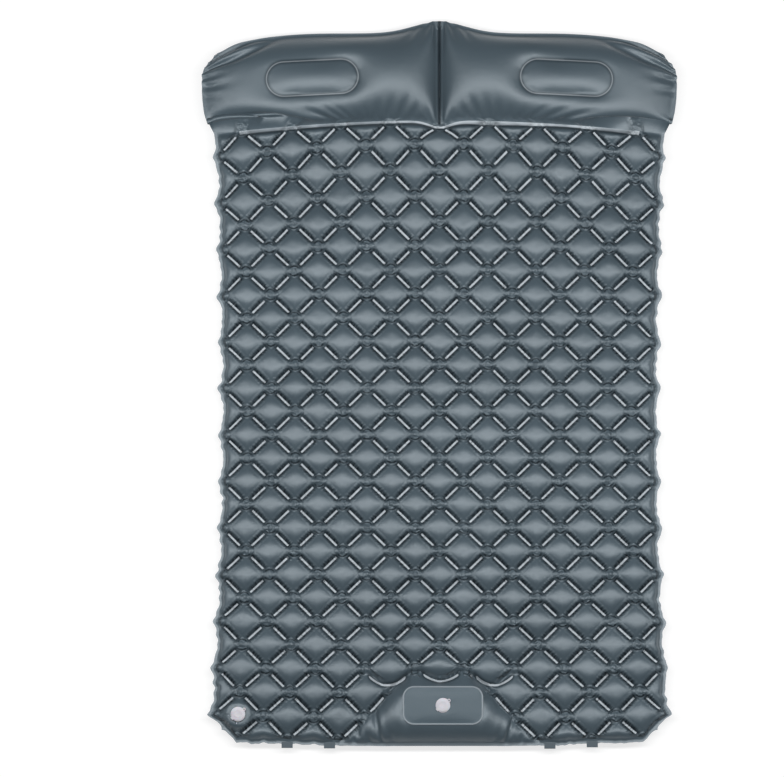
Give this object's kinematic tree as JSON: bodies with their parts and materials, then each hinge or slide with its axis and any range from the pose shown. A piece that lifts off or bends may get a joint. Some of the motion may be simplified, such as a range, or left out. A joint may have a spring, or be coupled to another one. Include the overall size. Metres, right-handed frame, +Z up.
{
  "type": "inflatable sleeping pad",
  "caption": "Double-width inflatable camping pad with diamond-quilted air cells, raised air pillows, a built-in foot pump and flat capped valves.",
  "frame": {"origin": "on the floor under the middle of the pad's box", "axes": "+Y along the pad towards the pillows, +X to the right as seen from above with the pillows away from the viewer, +Z up from the floor"},
  "size_m": [1.1986, 1.8444, 0.1044],
  "materials": {
    "top_fabric": "satin",
    "bottom_fabric": "satin",
    "tie_film": "satin",
    "foam": "matte",
    "valve_plastic": "satin",
    "valve_rubber": "matte"
  },
  "bodies": {
    "pad": {"top_skin": "top_fabric", "left_pillow_skin": "top_fabric", "right_pillow_skin": "top_fabric", "bottom_skin": "bottom_fabric", "left_pillow_baffle": "tie_film", "right_pillow_baffle": "tie_film", "pump_cover": "top_fabric", "pump_foam": "foam", "check_valve_sleeve": "valve_plastic", "main_valve_base": "valve_plastic", "main_valve_patch": "tie_film"},
    "foot_panel": {"pump_panel": "top_fabric", "pump_valve_base": "valve_plastic", "pump_valve_patch": "tie_film"},
    "main_plug": {"main_valve_plug": "valve_plastic"},
    "main_cap": {"main_valve_cap": "valve_plastic"},
    "main_flap": {"main_valve_flap": "valve_rubber"},
    "pump_plug": {"pump_valve_plug": "valve_plastic"},
    "pump_cap": {"pump_valve_cap": "valve_plastic"},
    "pump_flap": {"pump_valve_flap": "valve_rubber"},
    "check_flap": {"check_valve_flap": "valve_rubber"}
  },
  "joints": [
    {"name": "pump_press", "type": "slide", "parent": "pad", "child": "foot_panel", "axis": [0, 0, 1], "range_m": [-0.03, 0], "stiffness_N_per_m": 4000, "springref_m": 0.0003, "deforming": ["pump_cover", "pump_foam"]},
    {"name": "main_plug_lift", "type": "slide", "parent": "pad", "child": "main_plug", "axis": [0, 0, 1], "range_m": [0, 0.02]},
    {"name": "main_cap_swing", "type": "hinge", "parent": "main_plug", "child": "main_cap", "pos_m": [-0.52231, -0.85577, 0.0617], "axis": [0.6157, -0.788, 0], "range_deg": [0, 170]},
    {"name": "main_flap_open", "type": "slide", "parent": "main_plug", "child": "main_flap", "axis": [0, 0, 1], "range_m": [-0.0014, 0], "stiffness_N_per_m": 60, "springref_m": 0.0005},
    {"name": "pump_plug_lift", "type": "slide", "parent": "foot_panel", "child": "pump_plug", "axis": [0, 0, 1], "range_m": [0, 0.02]},
    {"name": "pump_cap_swing", "type": "hinge", "parent": "pump_plug", "child": "pump_cap", "pos_m": [-0.00808, -0.83481, 0.0727], "axis": [0.6157, -0.788, 0], "range_deg": [0, 170]},
    {"name": "pump_flap_open", "type": "slide", "parent": "pump_plug", "child": "pump_flap", "axis": [0, 0, 1], "range_m": [-0.0014, 0], "stiffness_N_per_m": 60, "springref_m": 0.0005},
    {"name": "check_flap_open", "type": "hinge", "parent": "pad", "child": "check_flap", "pos_m": [-0.20736, -0.84942, 0.032], "axis": [0, 1, 0], "range_deg": [0, 25]}
  ]
}
